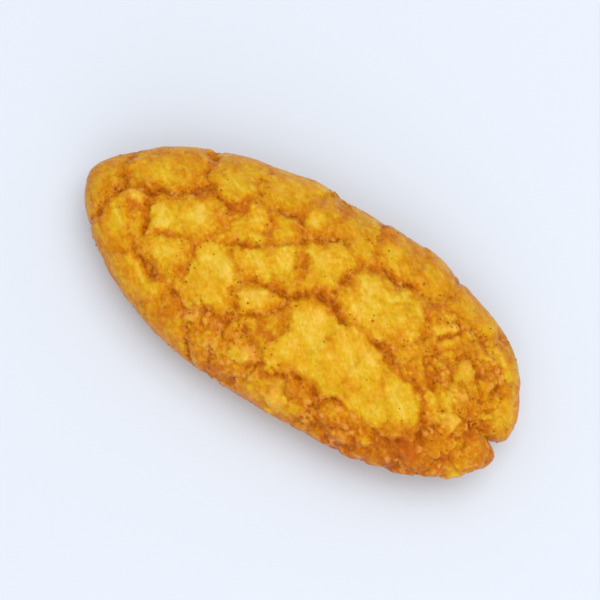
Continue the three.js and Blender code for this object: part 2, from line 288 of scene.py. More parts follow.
class CrackerShape(bpy.types.PropertyGroup):
    """Sizes of the crust"""

    half_length: FloatProperty(
        name="Half Length", description="Middle to tip", default=21.71 * MM, unit="LENGTH"
    )
    half_width: FloatProperty(
        name="Half Width", description="Middle to side", default=10.46 * MM, unit="LENGTH"
    )
    crown_rise: FloatProperty(
        name="Crown Rise", description="Top face above the rim", default=4.4 * MM, unit="LENGTH"
    )
    belly_drop: FloatProperty(
        name="Belly Drop", description="Underside below the rim", default=3.1 * MM, unit="LENGTH"
    )
    face_power: FloatProperty(name="Face Power", description="More makes flatter faces", default=2.8)
    tip_lift: FloatProperty(
        name="Tip Lift", description="How far the two ends curl up", default=0.7 * MM, unit="LENGTH"
    )
    foot_depth: FloatProperty(
        name="Foot Depth", description="What resting presses flat", default=0.4 * MM, unit="LENGTH"
    )
    split_depth: FloatProperty(
        name="Split Depth", description="How far the notch runs in", default=1.45 * MM, unit="LENGTH"
    )
    split_upper_width: FloatProperty(
        name="Split Upper Width", description="Its steep side", default=1.1 * MM, unit="LENGTH"
    )
    split_lower_width: FloatProperty(
        name="Split Lower Width", description="Its gentle side", default=1.25 * MM, unit="LENGTH"
    )
    split_y: FloatProperty(
        name="Split Place", description="Where it lies across the tip", default=-1.9 * MM, unit="LENGTH"
    )
    split_start: FloatProperty(
        name="Split Start", description="Where it begins along X", default=18.0 * MM, unit="LENGTH"
    )
    plate_rise: FloatProperty(
        name="Plate Rise", description="A full blister's height", default=0.50 * MM, unit="LENGTH"
    )
    plate_shoulder: FloatProperty(
        name="Plate Shoulder", description="Width of its rounded edge", default=0.75 * MM, unit="LENGTH"
    )
    plate_tilt: FloatProperty(name="Plate Tilt", description="Largest slope of a plate", default=0.07)
    seam_depth: FloatProperty(
        name="Seam Depth", description="Depth of a strong seam", default=0.26 * MM, unit="LENGTH"
    )
    seam_half_width: FloatProperty(
        name="Seam Half Width", description="Half of its width", default=0.4 * MM, unit="LENGTH"
    )
    seam_fade: FloatProperty(
        name="Seam Fade", description="How much narrower a weak seam is", default=1.0 * MM, unit="LENGTH"
    )
    channel_fade: FloatProperty(
        name="Channel Fade", description="The same, of its colour", default=0.4 * MM, unit="LENGTH"
    )
    rim_calm: FloatProperty(
        name="Rim Calm", description="Share of the relief that the rim keeps", default=0.5, subtype="FACTOR"
    )
    depth_weight: FloatProperty(
        name="Depth Weight", description="How much more heights part the plates", default=1.5
    )
    points_around: IntProperty(name="Points Around", description="Mesh points in a ring", default=640)
    rings: IntProperty(name="Rings", description="Rings from the top to the underside", default=150)


class CrustFinish(bpy.types.PropertyGroup):
    """Colours of the crust and its spice, as linear light"""

    # The pale crowns of puffed plates are partly a painted highlight
    pale: FloatVectorProperty(
        name="Pale", description="Crown of a puffed plate", default=(0.75, 0.465, 0.070), subtype="COLOR"
    )
    yellow: FloatVectorProperty(
        name="Yellow", description="Puffed plates", default=(0.67, 0.35, 0.012), subtype="COLOR"
    )
    gold: FloatVectorProperty(
        name="Gold", description="Flanks of the plates", default=(0.585, 0.225, 0.003), subtype="COLOR"
    )
    amber: FloatVectorProperty(
        name="Amber", description="Beside the seams", default=(0.52, 0.15, 0.001), subtype="COLOR"
    )
    brown: FloatVectorProperty(
        name="Brown", description="Bottom of the seams", default=(0.33, 0.07, 0.001), subtype="COLOR"
    )
    # Partly a painted highlight, like the pale crowns
    cream: FloatVectorProperty(
        name="Cream", description="Greener pale", default=(0.72, 0.50, 0.070), subtype="COLOR"
    )
    lemon: FloatVectorProperty(
        name="Lemon", description="Greener yellow", default=(0.63, 0.385, 0.009), subtype="COLOR"
    )
    straw: FloatVectorProperty(
        name="Straw", description="Greener gold", default=(0.525, 0.27, 0.004), subtype="COLOR"
    )
    # Painted highlight: the colour of the lit tops of crumbs and lumps
    peach_highlight: FloatVectorProperty(
        name="Peach", description="Crumbs and lumps", default=(0.77, 0.33, 0.05), subtype="COLOR"
    )
    rust: FloatVectorProperty(
        name="Rust", description="Chilli in the glaze", default=(0.50, 0.105, 0.006), subtype="COLOR"
    )
    chilli: FloatVectorProperty(
        name="Chilli", description="Its dark side", default=(0.42, 0.075, 0.002), subtype="COLOR"
    )
    chilli_pale: FloatVectorProperty(
        name="Pale Chilli", description="Its light side", default=(0.56, 0.18, 0.006), subtype="COLOR"
    )
    pepper: FloatVectorProperty(
        name="Pepper", description="Its dark side", default=(0.30, 0.10, 0.006), subtype="COLOR"
    )
    pepper_pale: FloatVectorProperty(
        name="Pale Pepper", description="Its light side", default=(0.48, 0.19, 0.012), subtype="COLOR"
    )
    pepper_count: IntProperty(name="Pepper Specks", description="Number of pepper specks", default=1300)
    chilli_count: IntProperty(name="Chilli Flecks", description="Number of chilli flecks", default=170)


class StudioStage(bpy.types.PropertyGroup):
    """The table and the lights"""

    table: FloatVectorProperty(
        name="Table", description="Colour of the table", default=(0.665, 0.705, 0.775), subtype="COLOR"
    )
    daylight: FloatVectorProperty(
        name="Daylight", description="Light from all around", default=(0.96, 0.98, 1.0), subtype="COLOR"
    )
    daylight_strength: FloatProperty(
        name="Daylight Strength", description="How bright that light is", default=0.74
    )
    key_power: FloatProperty(name="Key Power", description="Lamp above", default=1.6, unit="POWER")
    fill_power: FloatProperty(name="Fill Power", description="Lamp in front", default=1.9, unit="POWER")


def in_millimetres(group):
    """The values of a property group by name, with its lengths in millimetres."""
    values = {name: getattr(group, name) for name in type(group).__annotations__}
    for name in values:
        if group.bl_rna.properties[name].unit == "LENGTH":
            values[name] /= MM
    return SimpleNamespace(**values)


def draw(index, salt=0):
    """A number from 0 to 1 that is the same every time, from multiples of the golden ratio."""
    return (index * GOLDEN + salt * SECOND_STRIDE) % 1


def between(low, high, share):
    return low + (high - low) * share


def smooth(t):
    c = np.clip(t, 0, 1)
    return c * c * (3 - 2 * c)


def ripple(wavelength, phase, x, y, z):
    """A gentle irregular field from -1 to 1: three crossing waves of one wavelength."""
    k = 2 * math.pi / wavelength
    return (
        np.sin(k * (0.92 * x + 0.31 * y + 0.24 * z) + phase)
        + np.sin(k * (-0.37 * x + 0.85 * y - 0.37 * z) + 2.3 * phase + 1)
        + np.sin(k * (0.55 * x - 0.62 * y + 0.56 * z) + 3.1 * phase + 2)
    ) / 3


def perlin(p, scale, shift=0.0):
    """Smooth noise from about -0.7 to 0.7, with features of about 1 / scale."""
    places = p * scale + (shift, -shift, 0)
    return np.array([noise.noise(place) for place in places.tolist()])


def perlin_shifts(p, scale, shifts):
    """Three noises at a time, to move the points with."""
    return np.stack([perlin(p, scale, shift) for shift in shifts], axis=1)


def cells(p):
    """The distances to the two nearest cell middles, and a number from 0 to 1 for each point's cell."""
    away, lot = np.empty((len(p), 2)), np.empty(len(p))
    for i, place in enumerate(p.tolist()):
        distances, middles = noise.voronoi(place)
        away[i] = distances[:2]
        lot[i] = sum(at * stride for at, stride in zip(middles[0], CELL_STRIDES)) % 1
    return away[:, 0], away[:, 1], lot


def domes(p, size, shift):
    """A scatter of round domes about size wide: their height from 0 to 1, and a number for each dome."""
    nearest, _, lot = cells(p / size + shift)
    return np.maximum(1 - (nearest / DOME_REACH) ** 2, 0), lot


def lumps(p, size, shift):
    """Small lumps packed side by side: each point's way to the nearest gap, and a number for each lump."""
    bent = p + 0.5 * perlin_shifts(p, 0.7, (3, 8, 13))
    bent += 0.25 * perlin_shifts(p, 1.9, (5, 10, 15))
    nearest, second, lot = cells(bent / size + shift)
    return size * (second - nearest) / 2, lot


def oval_radius(s, x, y):
    return np.hypot(x / s.half_length, y / s.half_width)


def face_height(s, x, y, side):
    """Height of the plain pillow over a plan point, on the top (side 1) or underneath (side -1)."""
    rise = np.where(side > 0, s.crown_rise, -s.belly_drop)
    return rise * np.sqrt(np.maximum(0, 1 - oval_radius(s, x, y) ** s.face_power))


def section_steps(s):
    """How far out, and on which side, each ring lies: evenly spaced along the crossways section."""
    fine_steps = 8000
    angle = np.linspace(0, math.pi, fine_steps + 1)
    share = np.sin(angle) ** (2 / s.face_power)
    side = np.where(angle < math.pi / 2, 1.0, -1.0)
    y = s.half_width * share
    z = face_height(s, 0 * y, y, side)
    run = np.concatenate([[0], np.cumsum(np.hypot(np.diff(y), np.diff(z)))])
    wanted = np.linspace(0, run[-1], s.rings + 1)
    at = np.searchsorted(run, wanted).clip(0, len(run) - 1)
    share, side = share[at], side[at]
    share[0] = share[-1] = 0
    side[-1] = -1
    return share, side


def pillow_points(s):
    """Rings of confocal ovals over the plain pillow, so the first and last ring are lines."""
    share, side = section_steps(s)
    angle = np.linspace(0, 2 * math.pi, s.points_around, endpoint=False)
    narrow = (s.half_width * share)[:, None]
    x = np.sqrt(narrow**2 + s.half_length**2 - s.half_width**2) * np.cos(angle)
    y = narrow * np.sin(angle)
    z = face_height(s, x, y, side[:, None])
    return np.stack([x, y, z], axis=-1)


def pillow_normals(s, p):
    r = np.maximum(oval_radius(s, p[:, 0], p[:, 1]), 1e-6)
    spread = s.face_power * r ** (s.face_power - 2)
    rise = np.where(p[:, 2] > 0, s.crown_rise, s.belly_drop)
    along = spread * p[:, 0] / s.half_length**2
    across = spread * p[:, 1] / s.half_width**2
    up = 2 * p[:, 2] / rise**2
    n = np.stack([along, across, up], axis=-1)
    return n / np.linalg.norm(n, axis=-1, keepdims=True)


def top_plates():
    """Rows of x, y, side, puff, the number of the middle's plate, and the number of its region."""
    plates = [(region, *plate) for region, rows in TOP_PLATES.items() for plate in rows]
    rows = []
    for number, (region, puff, *middles) in enumerate(plates):
        rows += [(x, y, 1, puff, number, REGIONS.index(region)) for x, y in middles]
    return rows


def underside_plates(s, first):
    """The same rows for the underside, whose plates are numbered from first."""
    rows = []
    for i in range(EDGE_ROW["count"]):
        place = i + EDGE_ROW["turn"] + EDGE_ROW["stagger"] * (draw(i, 1) - 0.5)
        angle = 2 * math.pi * place / EDGE_ROW["count"]
        reach = between(*EDGE_ROW["reach"], draw(i, 2))
        x, y = s.half_length * reach * math.cos(angle), s.half_width * reach * math.sin(angle)
        rows.append((x, y, between(*EDGE_ROW["puff"], draw(i, 3))))
    for i in range(BRICKS["rows"] * BRICKS["columns"]):
        row, column = divmod(i, BRICKS["columns"])
        shift = BRICKS["shift"] if row % 2 else -BRICKS["shift"]
        along, across = column - (BRICKS["columns"] - 1) / 2 + shift, row - (BRICKS["rows"] - 1) / 2
        x = along * BRICKS["column_pitch"] + BRICKS["stagger"][0] * (draw(i, 4) - 0.5)
        y = across * BRICKS["row_pitch"] + BRICKS["stagger"][1] * (draw(i, 5) - 0.5)
        if oval_radius(s, x, y) < BRICKS["reach"]:
            rows.append((x, y, between(*BRICKS["puff"], draw(i, 6))))
    return [(x, y, -1, puff, first + i, REGIONS.index("underside")) for i, (x, y, puff) in enumerate(rows)]


def make_plates(s):
    """Every plate middle, on the plain pillow, with its plate's puff, slope, number and region."""
    top = top_plates()
    rows = top + underside_plates(s, top[-1][4] + 1)
    x, y, side, puff, number, region = np.array(rows, dtype=float).T
    return SimpleNamespace(
        middle=np.stack([x, y, face_height(s, x, y, side)], axis=1),
        puff=puff,
        slope=s.plate_tilt * (2 * np.stack([draw(number, 7), draw(number, 8)], axis=1) - 1),
        number=number,
        region=region.astype(int),
    )


def by_region(values, region):
    """The value of each point's region."""
    return np.array([values[name] for name in REGIONS])[region]


def wander(p):
    """The points, moved a little sideways, which makes the seams that are found from them uneven."""
    x, y, z = p.T
    moved = p.copy()
    for size, wavelength, phase in WANDER_RIPPLES:
        moved[:, 0] += size * ripple(wavelength, phase, x, y, z)
        moved[:, 1] += size * ripple(wavelength, phase, y + 31, z, x)
    for size, scale in WANDER_NOISES:
        moved[:, 0] += size * perlin(p, scale, 5)
        moved[:, 1] += size * perlin(p, scale, 17)
    return moved


def crack_strengths(s, p, plates, home):
    """The cracks from each point's own plate, its home, to every plate: strength from 0 to 1, and fade."""
    region = plates.region[home][:, None]
    inner = region == plates.region[None]
    banded = inner & (region == REGIONS.index("band"))
    low, high = (
        np.where(banded, across_band, np.where(inner, within, outer))
        for across_band, within, outer in zip(BAND_CRACK, INNER_CRACK, OUTER_CRACK)
    )
    crack = by_region(CRACK, plates.region)
    depth = (crack[home][:, None] + crack[None]) / 2
    pair = plates.number[home][:, None] + plates.number[None]
    strength = depth * between(low, high, draw(pair, CRACK_SEED))
    come_and_go = 0.9 + 1.6 * perlin(p, 0.4, 21) + 1.1 * perlin(p, 1.1, 25)
    strength = np.clip(strength * come_and_go[:, None], 0.05, 1)
    return strength, np.where(banded, 0.5 * s.seam_fade, s.channel_fade)


def crust_relief(s, p, plates):
    """How far the plates stand out from the plain pillow at each point, and what their finish needs."""
    x, y, z = p.T
    rim = RIM_SEAM["height"] + RIM_SEAM["sway"] * ripple(*RIM_SEAM["ripple"], x, y, 0)
    weight = np.array([1, 1, s.depth_weight])
    middles = plates.middle * weight
    away = np.linalg.norm((wander(p) * weight)[:, None] - middles[None], axis=2)
    underneath = plates.region == REGIONS.index("underside")
    away[(z > rim)[:, None] == underneath[None]] += FAR
    home = away.argmin(axis=1)
    own = away[np.arange(len(p)), home]
    apart = np.maximum(np.linalg.norm(middles[home][:, None] - middles[None], axis=2), 1e-6)
    to_seam = (away**2 - own[:, None] ** 2) / (2 * apart)
    to_seam[plates.number[home][:, None] == plates.number[None]] = FAR
    strength, fade = crack_strengths(s, p, plates, home)
    column = (len(p), 1)
    to_seam = np.append(to_seam, np.abs(z - rim)[:, None], axis=1)
    strength = np.append(strength, np.full(column, RIM_SEAM["strength"]), axis=1)
    fade = np.append(fade, np.full(column, RIM_SEAM["fade"]), axis=1)
    seam = (strength * np.exp(-((to_seam / s.seam_half_width) ** 2))).max(axis=1)
    clear = (to_seam + fade * (1 - strength)).min(axis=1)
    raised = (to_seam + s.seam_fade * (1 - strength)).min(axis=1)
    soft = np.sqrt(raised**2 + SHOULDER_FOOT**2) - SHOULDER_FOOT
    shoulder = 1 - np.exp(-soft / s.plate_shoulder)
    puff = plates.puff[home]
    tilt = (plates.slope[home] * (p - plates.middle[home])[:, :2]).sum(axis=1)
    out = shoulder * (s.plate_rise * between(FLAT_PLATE_SHARE, 1, puff) + tilt) - s.seam_depth * seam
    out *= between(s.rim_calm, 1, smooth(np.abs(z) / RIM_BAND))
    out += SWELL["size"] * ripple(*SWELL["ripple"], x, y, z)
    lot = draw(plates.number[home], 11)
    grain = by_region(GRAIN, plates.region[home])
    return out, SimpleNamespace(puff=puff, seam=seam, clear=clear, lot=lot, grain=grain)


def patches(p, spots):
    """How near each point of the top face is to the middle of a patch, from 0 to 1."""
    total = np.zeros(len(p))
    bent = p[:, :2] + 0.8 * np.stack([perlin(p, 0.5, 31), perlin(p, 0.5, 43)], axis=1)
    for x, y, reach, strength in spots:
        away = np.hypot(bent[:, 0] - x, bent[:, 1] - y)
        total = np.maximum(total, strength * np.exp(-((away / reach) ** 4)) * (p[:, 2] > -1))
    return total


def toast(p):
    """How browned the crust is, from 0 to 1: patches on the top, and scattered ones elsewhere."""
    scattered = smooth((perlin(p, 0.22, 40) - 0.12) / 0.3) * smooth((0.5 - p[:, 2]) / 2)
    return np.maximum(patches(p, TOASTED), 0.8 * scattered)


def pale(p, puff):
    """How pale the crust is, from 0 to 1, from thin glaze and partly a painted highlight: patches on the
    top, and the middles of high plates elsewhere.
    """
    scattered = smooth((perlin(p, 0.4, 60) + 0.1) / 0.4) * smooth((0.5 - p[:, 2]) / 2) * puff
    return np.maximum(patches(p, PALE), scattered)


def fine_relief(p, look):
    """Blisters, crumbs and wrinkles, from about 3 mm down to 0.3 mm, which are added to the look too."""
    blister, blister_lot = domes(p, BLISTER_SIZE, 4)
    crumb, crumb_lot = domes(p + 0.15 * perlin_shifts(p, 2.5, (1, 5, 9)), CRUMB_SIZE, 9)
    look.rough = np.clip(look.grain + 0.6 * look.toast + 0.7 * np.exp(-look.clear / 0.5), 0.1, 1)
    # The crumbs' heights, which the material also paints paler, as a highlight on their tops
    look.crumb = crumb * (0.3 + 0.7 * crumb_lot) * look.rough
    slanting = np.array([[0.82, 0.57, 0], [-0.57, 0.82, 0], [0, 0, 1]]) * [[0.45], [1.4], [1.0]]
    crease = perlin(p @ slanting.T, 0.8, 9) + 0.3 * perlin(p, 1.6, 2)
    crease = np.maximum(0, 1 - 5 * np.abs(crease))
    calm = between(0.5, 1, smooth(np.abs(p[:, 2]) / RIM_BAND))
    angle = np.arctan2(p[:, 1], 0.5 * p[:, 0])
    round_rim = np.stack([3 * np.cos(angle), 3 * np.sin(angle), 0.9 * p[:, 2]], axis=1)
    fold = perlin(round_rim, 0.7, 12) + 0.25 * perlin(p, 1.1, 15)
    fold = np.maximum(0, 1 - 6 * np.abs(fold)) * (1 - calm)
    look.crease = crease + 2 * fold
    out = 0.12 * perlin(p, 0.45) + (0.2 + look.rough) * 0.09 * (perlin(p, 1.7, 3) + perlin(p, 3.6, 7))
    out += BLISTER_RISE * blister * smooth((blister_lot - 0.5) / 0.4)
    out += CRUMB_RISE * look.crumb - CREASE_DEPTH * crease
    return out * calm - FOLD_DEPTH * fold


def crumbled_relief(p, look):
    """The small lumps that the split end and the scorched side are broken into, in shape and in look."""
    broken = patches(p, CRUMBLED)
    gap, lot = lumps(p, LUMP_SIZE, 3)
    lump = 1 - np.exp(-gap / 0.3)
    line = np.exp(-((gap / 0.19) ** 2))
    lined = np.clip(0.75 + 1.2 * perlin(p, 0.6, 51), 0.3, 1)
    look.seam = np.maximum(look.seam, 0.95 * broken * line * lined)
    look.clear = between(look.clear, np.minimum(look.clear, gap + 0.3), broken)
    look.puff = np.clip(look.puff + broken * (lot - 0.25), 0, 1)
    # Paler towards the lumps' middles: thin glaze and partly a painted highlight
    look.thin = np.maximum(look.thin, broken * lump * smooth((lot - 0.4) / 0.4))
    # The lumps' tops take the crumbs' painted highlight
    look.crumb = np.maximum(look.crumb, 0.9 * broken * lump * lot)
    return broken * (LUMP_RISE * lump * (0.4 + 0.6 * lot) - LUMP_GAP_DEPTH * line)


def shape_outline(s, p):
    """Reshapes the plan from the plain oval to the real outline."""
    angle = np.arctan2(p[:, 1] / s.half_width, p[:, 0] / s.half_length)
    along, across = np.cos(angle), np.sin(angle)
    power = OVAL_POWER["mean"] + OVAL_POWER["along"] * along + OVAL_POWER["across"] * across
    scale = (np.abs(along) ** power + np.abs(across) ** power) ** (-1 / power)
    for count, size, phase in OUTLINE_WAVES:
        scale *= 1 + size * np.sin(count * angle + phase)
    for middle, size, width in OUTLINE_BULGES:
        away = (angle - middle + math.pi) % (2 * math.pi) - math.pi
        scale *= 1 + size * np.exp(-((away / width) ** 2))
    share = np.minimum(1, oval_radius(s, p[:, 0], p[:, 1])) ** 2
    p[:, :2] *= (1 + (scale - 1) * share)[:, None]


def cut_split(s, p):
    """Pushes the notch of the split end in, along X."""
    inward = smooth((p[:, 0] - s.split_start) / (s.half_length - s.split_start))
    across = p[:, 1] - s.split_y
    width = np.where(across > 0, s.split_upper_width, s.split_lower_width)
    p[:, 0] -= s.split_depth * inward * np.maximum(0, 1 - np.abs(across) / width) ** 2


def settle(s, p):
    """Curls the ends up, presses the lowest plates flat and puts the origin at the middle of the base."""
    p[:, 2] += s.tip_lift * (p[:, 0] / s.half_length) ** 2
    p[:, 2] = np.maximum(p[:, 2], p[:, 2].min() + s.foot_depth)
    low, high = p.min(axis=0), p.max(axis=0)
    p -= [(low[0] + high[0]) / 2, (low[1] + high[1]) / 2, low[2]]


def grid_mesh(name, rings, around, points):
    """A closed quad mesh of rings, whose first and last ring are lines that both halves share."""
    index = np.arange(rings * around).reshape(rings, around)
    half = around // 2
    for ring in (0, rings - 1):
        index[ring, half + 1 :] = index[ring, 1:half][::-1]
    a, b = index[:-1], index[1:]
    quads = np.stack([a, b, np.roll(b, -1, 1), np.roll(a, -1, 1)], axis=-1).reshape(-1, 4)
    used, quads = np.unique(quads, return_inverse=True)
    quads = quads.reshape(-1, 4)
    mesh = bpy.data.meshes.new(name)
    mesh.from_pydata(points[used].tolist(), [], quads.tolist())
    mesh.validate()
    mesh.update()
    return mesh, used


def link(obj):
    bpy.context.scene.collection.objects.link(obj)
    return obj


class RICECRACKER_OT_crust(bpy.types.Operator):
    """Builds the cracker's crust, with its plates, seams and split end"""

    bl_idname = "ricecracker.crust"
    bl_label = "Cracker Crust"

    def execute(self, context):
        s = in_millimetres(context.scene.cracker_shape)
        grid = pillow_points(s)
        rings, around = grid.shape[:2]
        p = grid.reshape(-1, 3)
        out, look = crust_relief(s, p, make_plates(s))
        look.toast = toast(p)
        # Thin glaze, and partly a painted highlight on the crowns of plates
        look.thin = pale(p, look.puff)
        # Darker round the rim's middle line: painted shade of the flank that turns from the light, with
        # some browning
        look.rim = np.exp(-((p[:, 2] / RIM_SHADE_AND_TOAST_REACH) ** 2))
        out += fine_relief(p, look)
        out += crumbled_relief(p, look)
        p = p + pillow_normals(s, p) * out[:, None]
        shape_outline(s, p)
        cut_split(s, p)
        settle(s, p)
        mesh, used = grid_mesh("cracker_crust", rings, around, p * MM)
        for name in LOOKS:
            attribute = mesh.attributes.new(name, "FLOAT", "POINT")
            attribute.data.foreach_set("value", getattr(look, name)[used].astype(np.float32))
        mesh.shade_smooth()
        crust = link(bpy.data.objects.new("cracker_crust", mesh))
        crust.data.materials.append(crust_material(context.scene.crust_finish))
        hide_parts(NODE)
        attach(crust, BODY)
        return {"FINISHED"}


class Graph:
    """Short words for wiring a material's nodes."""

    def __init__(self, mat):
        mat.use_nodes = True
        self.nodes, self.links = mat.node_tree.nodes, mat.node_tree.links
        self.shader = self.nodes["Principled BSDF"]

    def feed(self, socket, value):
        if isinstance(value, bpy.types.NodeSocket):
            self.links.new(value, socket)
        else:
            socket.default_value = value

    def math(self, operation, *values):
        node = self.nodes.new("ShaderNodeMath")
        node.operation = operation
        for socket, value in zip(node.inputs, values):
            self.feed(socket, value)
        return node.outputs[0]

    def add(self, value, *shares):
        """The value, plus a share of each field."""
        for field, share in shares:
            value = self.math("MULTIPLY_ADD", field, share, value)
        return value

    def attribute(self, name):
        node = self.nodes.new("ShaderNodeAttribute")
        node.attribute_name = name
        return node.outputs["Fac"]

    def place(self):
        return self.nodes.new("ShaderNodeTexCoord").outputs["Object"]

    def noise(self, scale, detail=2.0, rough=0.5, stretch=None, turn=0.0, warp=0.0):
        """Noise whose features are 1 / scale millimetres, from 0 to 1."""
        place = self.place()
        if stretch:
            mapping = self.nodes.new("ShaderNodeMapping")
            mapping.vector_type = "TEXTURE"
            mapping.inputs["Rotation"].default_value = (0, 0, turn)
            mapping.inputs["Scale"].default_value = [1 / share for share in stretch]
            self.links.new(place, mapping.inputs["Vector"])
            place = mapping.outputs["Vector"]
        node = self.nodes.new("ShaderNodeTexNoise")
        self.links.new(place, node.inputs["Vector"])
        node.inputs["Scale"].default_value = scale / MM
        node.inputs["Detail"].default_value = detail
        node.inputs["Roughness"].default_value = rough
        node.inputs["Distortion"].default_value = warp
        return node.outputs["Fac"]

    def field(self, scale, detail, rough, **settings):
        """Noise spread over -1 to 1."""
        return self.remap(self.noise(scale, detail, rough, **settings), 0.3, 0.7, -1, 1)

    def grains(self, scale, warp):
        """How far each point is from the middle of its grain, for grains 1 / scale millimetres wide."""
        place = self.place()
        bend = self.nodes.new("ShaderNodeTexNoise")
        self.links.new(place, bend.inputs["Vector"])
        bend.inputs["Scale"].default_value = 0.7 * scale / MM
        bent = self.nodes.new("ShaderNodeVectorMath")
        bent.operation = "MULTIPLY_ADD"
        self.links.new(bend.outputs["Color"], bent.inputs[0])
        bent.inputs[1].default_value = [warp / scale * MM] * 3
        self.links.new(place, bent.inputs[2])
        node = self.nodes.new("ShaderNodeTexVoronoi")
        node.inputs["Scale"].default_value = scale / MM
        self.links.new(bent.outputs["Vector"], node.inputs["Vector"])
        return node.outputs["Distance"]

    def remap(self, value, low, high, to_low=0.0, to_high=1.0, smooth=False):
        node = self.nodes.new("ShaderNodeMapRange")
        node.interpolation_type = "SMOOTHSTEP" if smooth else "LINEAR"
        ends = {"From Min": low, "From Max": high, "To Min": to_low, "To Max": to_high}
        for name, number in ends.items():
            node.inputs[name].default_value = number
        self.links.new(value, node.inputs["Value"])
        return node.outputs["Result"]

    def scaled(self, field, by, low, high, to_low, to_high, smooth=False):
        """The field times a share that goes from to_low to to_high as another goes from low to high."""
        return self.math("MULTIPLY", field, self.remap(by, low, high, to_low, to_high, smooth))

    def ramp(self, value, colours):
        """Evenly spaced colours, from the first at 0 to the last at 1."""
        node = self.nodes.new("ShaderNodeValToRGB")
        elements = node.color_ramp.elements
        elements[0].color, elements[1].color = (*colours[0], 1), (*colours[-1], 1)
        for step, colour in enumerate(colours[1:-1], 1):
            elements.new(step / (len(colours) - 1)).color = (*colour, 1)
        self.links.new(value, node.inputs["Fac"])
        return node.outputs["Color"]

    def mix(self, share, first, second):
        node = self.nodes.new("ShaderNodeMix")
        node.data_type = "RGBA"
        self.feed(node.inputs[0], share)
        self.feed(node.inputs[6], first)
        self.feed(node.inputs[7], second)
        return node.outputs[2]

    def bump(self, height, strength, distance):
        node = self.nodes.new("ShaderNodeBump")
        node.inputs["Strength"].default_value = strength
        node.inputs["Distance"].default_value = distance * MM
        self.feed(node.inputs["Height"], height)
        self.feed(self.shader.inputs["Normal"], node.outputs["Normal"])


def hair_cracks(g, fine):
    """Short brown hair cracks across the plates, from 0 to 1."""
    veins = g.noise(1.2, 3, 0.6, turn=-0.7, stretch=(0.35, 1.4, 1), warp=1.0)
    veins = g.remap(g.math("ABSOLUTE", g.math("SUBTRACT", veins, 0.5)), 0.0, 0.035, 1.0, 0.0, smooth=True)
    return g.math("MULTIPLY", veins, g.remap(fine, -0.8, 0.4))


def ripeness(g, look, fine, grains, veins):
    """The one scale that all colours of the crust follow, from 0, brown, to 1, pale."""
    ragged = g.field(1.0, 5, 0.65)
    dust = g.scaled(g.field(4.6, 2, 0.6), look.rough, 0.1, 0.8, 0.3, 1.4)
    feathers = g.field(0.8, 5, 0.6, turn=-0.6, stretch=(0.45, 1.5, 1), warp=0.6)
    core = g.remap(g.add(look.seam, (fine, 0.22)), 0.55, 0.80, smooth=True)
    inside = g.remap(g.add(look.clear, (ragged, 0.24), (fine, 0.12)), 0.10, 1.10, smooth=True)
    blush = g.remap(g.add(look.thin, (feathers, 0.30), (ragged, 0.25), (fine, 0.20)), -0.15, 1.15)
    ripe = g.scaled(inside, look.puff, 0.0, 1.0, 0.05, 0.24)
    ripe = g.math("ADD", ripe, g.remap(look.puff, 0.0, 1.0, 0.38, 0.48))
    # Paler where the glaze is thin, partly a painted highlight on the plates' crowns
    ripe = g.math("ADD", ripe, g.scaled(blush, inside, 0.0, 1.0, 0.12, 0.28))
    ripe = g.add(
        ripe,
        (g.scaled(g.add(ragged, (fine, 1.25)), look.rough, 0.1, 0.8, 0.35, 1.0), 0.11),
        (grains, 0.05),
        (dust, 0.05),
        (g.scaled(feathers, inside, 0.0, 1.0, 0.4, 1.0), 0.13),
        (g.field(0.34, 2, 0.5), 0.05),
        (g.math("SUBTRACT", look.lot, 0.5), 0.12),
        (veins, -0.17),
        (look.toast, -0.28),
        (look.seam, -0.09),
        (core, -0.20),
        # darker round the rim: painted shade, with some browning
        (look.rim, -0.14),
        # paler on the tops of crumbs and lumps: painted highlight
        (look.crumb, 0.12),
        (look.crease, -0.10),
    )
    grit = g.add(g.remap(inside, 0.0, 1.0, 0.35, 0.0), (look.seam, 0.5))
    grit = g.math("MULTIPLY", grit, g.remap(g.noise(3.4, 2, 0.5), 0.56, 0.62, smooth=True))
    return g.math("MULTIPLY_ADD", g.add(ripe, (grit, -0.30)), 0.92, 0.055)


def glaze_colour(g, f, look, ripe):
    """The ripe scale in warm and in greener yellows, with a pale orange painted highlight on crumbs, lumps
    and blotches of the browner parts, and rusty chilli.
    """
    warm = g.ramp(ripe, (f.brown, f.amber, f.gold, f.yellow, f.pale))
    green = g.ramp(ripe, (f.brown, f.amber, f.straw, f.lemon, f.cream))
    greener = g.add(g.noise(0.55, 2, 0.5, warp=0.6), (look.thin, 0.12))
    greener = g.remap(greener, 0.42, 0.70, 0.0, 0.75, smooth=True)
    greener = g.scaled(greener, ripe, 0.35, 0.65, 0.4, 1.0)
    colour = g.mix(greener, warm, green)
    # Painted highlight, on blotches of the browner parts and on the tops of crumbs and lumps
    peach_highlight = g.remap(g.noise(1.5, 3, 0.6), 0.50, 0.68, 0.0, 0.40, smooth=True)
    peach_highlight = g.add(peach_highlight, (g.remap(look.crumb, 0.20, 0.68, smooth=True), 0.78))
    peach_highlight = g.scaled(peach_highlight, ripe, 0.53, 0.88, 1.0, 0.15, smooth=True)
    colour = g.mix(peach_highlight, colour, (*f.peach_highlight, 1))
    rust = g.remap(g.noise(0.5, 3, 0.6, warp=0.5), 0.52, 0.66, 0.0, 0.55, smooth=True)
    rust = g.scaled(g.add(rust, (look.toast, 0.35)), ripe, 0.35, 0.65, 1.0, 0.0, smooth=True)
    return g.mix(rust, colour, (*f.rust, 1))


